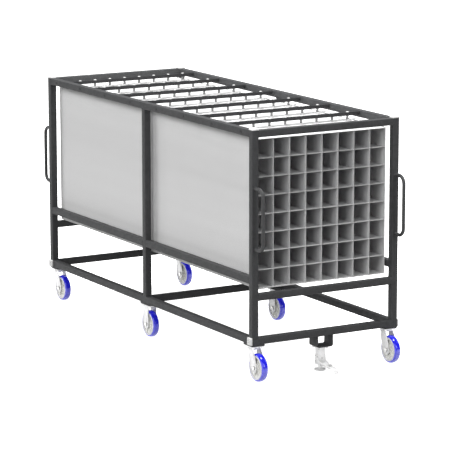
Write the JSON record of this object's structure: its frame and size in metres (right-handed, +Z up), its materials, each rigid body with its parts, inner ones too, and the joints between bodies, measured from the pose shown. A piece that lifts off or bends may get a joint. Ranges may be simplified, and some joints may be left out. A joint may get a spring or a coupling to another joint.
{
  "type": "parts cart",
  "caption": "Long square-tube steel parts cart on casters, with hanging open-ended textile dunnage cells, upright pull handles and a pedal floor lock.",
  "frame": {"origin": "on the floor, under the middle of the whole object's bounding box (half way between the pedal's tip and the -X handles, and between the far and near tube caps)", "axes": "+X along the long side, towards the end with the floor lock; +Y across the cart; +Z up"},
  "size_m": [2.6164, 0.939, 1.3605],
  "materials": {
    "charcoal_paint": "satin powder coat",
    "handle_paint": "satin powder coat",
    "cap_plastic": "matte",
    "textile": "matte woven",
    "dark_bar": "satin",
    "zinc": "bright zinc plate",
    "blue_tread": "gloss polyurethane",
    "lock_zinc": "bright zinc plate",
    "foot_rubber": "matte"
  },
  "bodies": {
    "cart": {"base_frame": "charcoal_paint", "near_side_frame": "charcoal_paint", "far_side_frame": "charcoal_paint", "end_top_rail_left": "charcoal_paint", "end_top_rail_right": "charcoal_paint", "end_middle_rail_left": "charcoal_paint", "end_middle_rail_right": "charcoal_paint", "floor_lock_bracket": "charcoal_paint", "floor_lock_housing": "lock_zinc", "pull_handle_near_left": "handle_paint", "pull_handle_near_right": "handle_paint", "pull_handle_far_left": "handle_paint", "pull_handle_far_right": "handle_paint", "post_cap_near_left": "cap_plastic", "post_cap_near_right": "cap_plastic", "post_cap_far_left": "cap_plastic", "post_cap_far_right": "cap_plastic", "rail_cap_near_left": "cap_plastic", "rail_cap_near_right": "cap_plastic", "rail_cap_far_left": "cap_plastic", "rail_cap_far_right": "cap_plastic", "dunnage_column_1": "textile", "dunnage_column_2": "textile", "dunnage_column_3": "textile", "dunnage_column_4": "textile", "dunnage_column_5": "textile", "dunnage_column_6": "textile", "dunnage_column_7": "textile", "dunnage_column_8": "textile", "hanger_bar_1": "dark_bar", "hanger_bar_2": "dark_bar", "hanger_bar_3": "dark_bar", "hanger_bar_4": "dark_bar", "hanger_bar_5": "dark_bar", "hanger_bar_6": "dark_bar", "hanger_bar_7": "dark_bar", "swivel_plate_near_left": "zinc", "swivel_plate_near_right": "zinc", "swivel_plate_far_left": "zinc", "swivel_plate_far_right": "zinc", "rigid_fork_near_middle": "zinc", "rigid_fork_far_middle": "zinc", "axle_near_middle": "zinc", "axle_far_middle": "zinc"},
    "swivel_near_left": {"swivel_fork_near_left": "zinc", "axle_near_left": "zinc"},
    "wheel_body_near_left": {"wheel_near_left": "blue_tread"},
    "swivel_near_right": {"swivel_fork_near_right": "zinc", "axle_near_right": "zinc"},
    "wheel_body_near_right": {"wheel_near_right": "blue_tread"},
    "swivel_far_left": {"swivel_fork_far_left": "zinc", "axle_far_left": "zinc"},
    "wheel_body_far_left": {"wheel_far_left": "blue_tread"},
    "swivel_far_right": {"swivel_fork_far_right": "zinc", "axle_far_right": "zinc"},
    "wheel_body_far_right": {"wheel_far_right": "blue_tread"},
    "wheel_body_near_middle": {"wheel_near_middle": "blue_tread"},
    "wheel_body_far_middle": {"wheel_far_middle": "blue_tread"},
    "lock_pedal": {"floor_lock_pedal": "lock_zinc"},
    "lock_foot": {"floor_lock_foot": "foot_rubber"}
  },
  "joints": [
    {"name": "swivel_near_left", "type": "hinge", "parent": "cart", "child": "swivel_near_left", "pos_m": [-1.17225, -0.4195, 0.1745], "axis": [0, 0, 1], "continuous": true},
    {"name": "spin_near_left", "type": "hinge", "parent": "swivel_near_left", "child": "wheel_body_near_left", "pos_m": [-1.12725, -0.4195, 0.0762], "axis": [0, 1, 0], "continuous": true},
    {"name": "swivel_near_right", "type": "hinge", "parent": "cart", "child": "swivel_near_right", "pos_m": [1.15275, -0.4195, 0.1745], "axis": [0, 0, 1], "continuous": true},
    {"name": "spin_near_right", "type": "hinge", "parent": "swivel_near_right", "child": "wheel_body_near_right", "pos_m": [1.19775, -0.4195, 0.0762], "axis": [0, 1, 0], "continuous": true},
    {"name": "swivel_far_left", "type": "hinge", "parent": "cart", "child": "swivel_far_left", "pos_m": [-1.17225, 0.4195, 0.1745], "axis": [0, 0, 1], "continuous": true},
    {"name": "spin_far_left", "type": "hinge", "parent": "swivel_far_left", "child": "wheel_body_far_left", "pos_m": [-1.12725, 0.4195, 0.0762], "axis": [0, 1, 0], "continuous": true},
    {"name": "swivel_far_right", "type": "hinge", "parent": "cart", "child": "swivel_far_right", "pos_m": [1.15275, 0.4195, 0.1745], "axis": [0, 0, 1], "continuous": true},
    {"name": "spin_far_right", "type": "hinge", "parent": "swivel_far_right", "child": "wheel_body_far_right", "pos_m": [1.19775, 0.4195, 0.0762], "axis": [0, 1, 0], "continuous": true},
    {"name": "spin_near_middle", "type": "hinge", "parent": "cart", "child": "wheel_body_near_middle", "pos_m": [-0.00975, -0.4195, 0.0762], "axis": [0, 1, 0], "continuous": true},
    {"name": "spin_far_middle", "type": "hinge", "parent": "cart", "child": "wheel_body_far_middle", "pos_m": [-0.00975, 0.4195, 0.0762], "axis": [0, 1, 0], "continuous": true},
    {"name": "lock_pedal_hinge", "type": "hinge", "parent": "cart", "child": "lock_pedal", "pos_m": [1.18625, 0, 0.0405], "axis": [0, -1, 0], "range_deg": [-2.8, 35]},
    {"name": "lock_foot_slide", "type": "slide", "parent": "cart", "child": "lock_foot", "axis": [0, 0, 1], "range_m": [-0.0017, 0.0206], "stiffness_N_per_m": 600, "springref_m": -0.03}
  ],
  "couplings": [
    {"joint": "lock_foot_slide", "follows": "lock_pedal_hinge", "m_per_rad": 0.0335}
  ]
}
